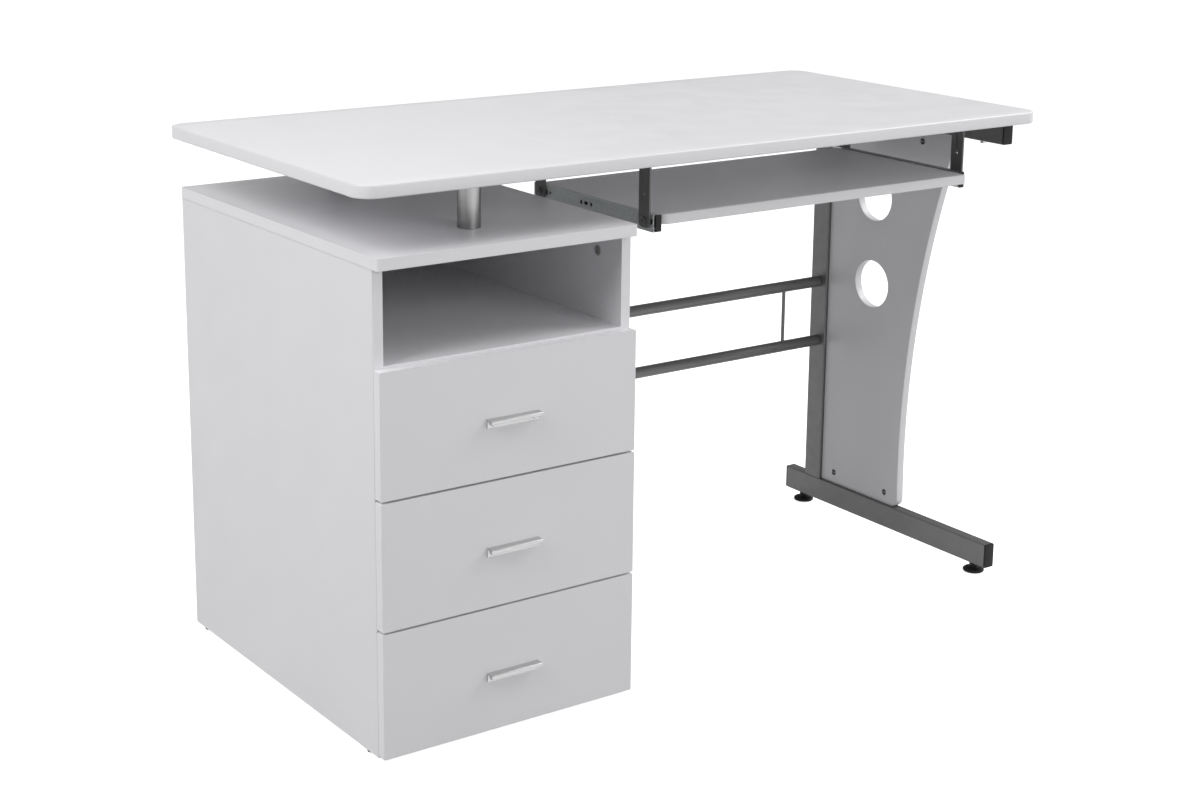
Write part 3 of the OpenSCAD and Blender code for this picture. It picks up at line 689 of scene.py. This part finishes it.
def make_standoff(node):
    """A plain satin tube with broken edges."""
    r, h, edge = size(node).x / 2, size(node).z, TUBE_EDGE
    profile = [(0, 0), (r - edge, 0), (r, edge), (r, h - edge), (r - edge, h), (0, h)]
    mesh = lathe_mesh(node + "_tube", profile, 64)
    place = middle(node)
    mesh.transform(Matrix.Translation((place.x, place.y, low(node).z)))
    piece = add_piece(node + "_tube", mesh, "standoff", node)
    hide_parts(node)


def make_foot(node):
    """Levelling foot: soft-edged pad, neck, hexagon and threaded stud."""
    r = size(node).x / 2
    pad = [
        (0, 0), (r - 3.0 * MM, 0), (r - 1.2 * MM, 0.5 * MM), (r - 0.2 * MM, 1.8 * MM),
        (r, 3.2 * MM), (r - 0.5 * MM, 4.8 * MM), (r - 2.0 * MM, 6.0 * MM),
        (r - 5.0 * MM, 6.8 * MM), (7.0 * MM, 7.4 * MM), (6.2 * MM, 8.2 * MM), (6.0 * MM, 10.2 * MM),
        (0, 10.2 * MM),
    ]
    hexagon = [
        (0, 9.9 * MM), (6.8 * MM, 9.9 * MM), (7.5 * MM, 10.6 * MM), (7.5 * MM, 14.8 * MM),
        (6.8 * MM, 15.5 * MM), (0, 15.5 * MM),
    ]
    pitch, stud, root = 1.25 * MM, 4.0 * MM, 3.4 * MM
    thread = [(0, 15.4 * MM)]
    z = 15.4 * MM
    while z < 35 * MM:
        thread += [(root, z), (stud, z + pitch * 0.4), (stud, z + pitch * 0.55)]
        z += pitch
    thread += [(root, z), (0, z)]
    meshes = [lathe_mesh("pad", pad, 64), lathe_mesh("hex", hexagon, 6), lathe_mesh("stud", thread, 32)]
    mesh = merged(node + "_lathe", meshes)
    place = middle(node)
    mesh.transform(Matrix.Translation((place.x, place.y, 0)))
    piece = add_piece(node + "_lathe", mesh, "black", node)
    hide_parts(node)


def make_end_caps():
    """Domed plugs in the four ends of the foot bar and the top arm."""
    meshes = []
    for node in ("leg_foot_bar", "leg_top_arm"):
        lo, hi = low(node), high(node)
        outline = round_rect(lo.x, lo.z, hi.x, hi.z, CAP_CORNER, CAP_CORNER, 6)
        for y in (lo.y - CAP_T / 2, hi.y + CAP_T / 2):
            mesh = slab_mesh("cap", [outline], CAP_T, CAP_EDGE)
            mesh.transform(FACING_FRONT)
            mesh.transform(Matrix.Translation((0, y, 0)))
            meshes.append(mesh)
    piece = add_piece("tube_end_caps_domed", merged("tube_end_caps_domed", meshes), "black",
                      "tube_end_caps")
    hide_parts("tube_end_caps")


def make_welds():
    """Weld beads behind the post, where it stands on the foot bar and under the top arm."""
    lo, hi = low("leg_post"), high("leg_post")
    meshes = []
    for z in (lo.z, hi.z):
        curve = bpy.data.curves.new("bead", "CURVE")
        curve.dimensions = "3D"
        curve.bevel_depth = 1.6 * MM
        curve.bevel_resolution = 4
        curve.use_fill_caps = True
        spline = curve.splines.new("POLY")
        steps = 36
        spline.points.add(steps)
        for i, point in enumerate(spline.points):
            x = lo.x + 1.5 * MM + (hi.x - lo.x - 3 * MM) * i / steps
            ripple = 0.25 * MM * math.sin(i * 2.1)
            point.co = (x, hi.y + 0.2 * MM + ripple, z, 1)
            point.radius = 1.0 + 0.22 * math.sin(i * 1.7)
        holder = bpy.data.objects.new("bead", curve)
        bpy.context.scene.collection.objects.link(holder)
        graph = bpy.context.evaluated_depsgraph_get()
        mesh = bpy.data.meshes.new_from_object(holder.evaluated_get(graph))
        bpy.data.objects.remove(holder)
        meshes.append(mesh)
    whole = merged("post_weld_beads", meshes)
    for face in whole.polygons:
        face.use_smooth = True
    add_piece("post_weld_beads", whole, "frame", "leg_post")


def make_metalwork():
    for n in DRAWERS:
        make_handle(n)
    for node in ("standoff_front", "standoff_rear"):
        make_standoff(node)
    for node in ("levelling_foot_front", "levelling_foot_rear"):
        make_foot(node)
    make_end_caps()
    make_welds()


def finish_cad_nodes():
    """Every CAD node that stays takes the finish of its material slot."""
    for node, obj in nodes.items():
        finish = FINISH[NODE_FINISH.get(node) or SLOT_FINISH[node_slot[node]]]
        for held in obj.material_slots:
            held.material = finish


# ---- studio ------------------------------------------------------------------------------------------


def make_camera():
    """The photograph's viewpoint: three-quarter view from the pedestal's side."""
    yaw, pitch, roll = (math.radians(a) for a in (CAMERA_YAW, CAMERA_PITCH, CAMERA_ROLL))
    forward = Vector((math.sin(yaw) * math.cos(pitch), math.cos(yaw) * math.cos(pitch), math.sin(pitch)))
    level = Vector((math.cos(yaw), -math.sin(yaw), 0))
    upright = level.cross(forward)
    right = level * math.cos(roll) + upright * math.sin(roll)
    up = right.cross(forward)
    data = bpy.data.cameras.new("camera")
    data.sensor_width = SENSOR
    data.lens = LENS
    data.shift_y = LENS_SHIFT
    data.clip_end = 50
    camera = bpy.data.objects.new("camera", data)
    bpy.context.scene.collection.objects.link(camera)
    turned = Matrix((right, up, -forward)).transposed().to_4x4()
    camera.matrix_world = Matrix.Translation(Vector(CAMERA_PLACE)) @ turned
    bpy.context.scene.camera = camera


def area_light(name, place, target, width, height, power):
    data = bpy.data.lights.new(name, "AREA")
    data.shape = "RECTANGLE"
    data.size = width
    data.size_y = height
    data.energy = power
    light = bpy.data.objects.new(name, data)
    bpy.context.scene.collection.objects.link(light)
    light.location = place
    light.visible_camera = False
    aim = Vector(target) - Vector(place)
    light.rotation_euler = aim.to_track_quat("-Z", "Y").to_euler()


def make_floor():
    """A white floor that runs past the horizon; it doesn't throw light back on the desk."""
    bpy.ops.mesh.primitive_plane_add(size=60, location=(0, 0, 0))
    floor = bpy.context.object
    floor.name = "studio_floor"
    s = Shader("studio_floor")
    s.own(Emission_Color=(1, 1, 1, 1), Emission_Strength=0.78)
    s.colour(s.mix(s.noise(1.5, 2.0), grey(0.86), grey(0.90)))
    s.roughness(0.75)
    floor.data.materials.append(s.material)
    floor.visible_diffuse = False


def make_world():
    """Even dim light from all round, seen as plain white where the floor ends."""
    world = bpy.data.worlds.new("studio")
    world.use_nodes = True
    tree = world.node_tree
    path = tree.nodes.new("ShaderNodeLightPath")
    level = tree.nodes.new("ShaderNodeMapRange")
    level.inputs["To Min"].default_value = 0.26
    level.inputs["To Max"].default_value = 1.0
    background = tree.nodes["Background"]
    background.inputs["Color"].default_value = (1, 1, 1, 1)
    tree.links.new(path.outputs["Is Camera Ray"], level.inputs["Value"])
    tree.links.new(level.outputs["Result"], background.inputs["Strength"])
    bpy.context.scene.world = world


def make_studio():
    make_floor()
    make_world()
    centre = (0, 0, 0.4)
    area_light("left_high", (-3.0, -0.3, 3.0), centre, 2.5, 2.5, 97)
    area_light("right_high", (3.0, -1.0, 3.0), centre, 2.5, 2.5, 98)
    area_light("front_low", (0.6, -3.8, 1.6), centre, 3.0, 1.6, 44)
    area_light("back_high", (0.5, 3.0, 3.0), centre, 3.0, 2.5, 12)
    bpy.context.scene.view_settings.view_transform = "Standard"


finish_cad_nodes()
make_boards()
make_metalwork()
make_camera()
make_studio()
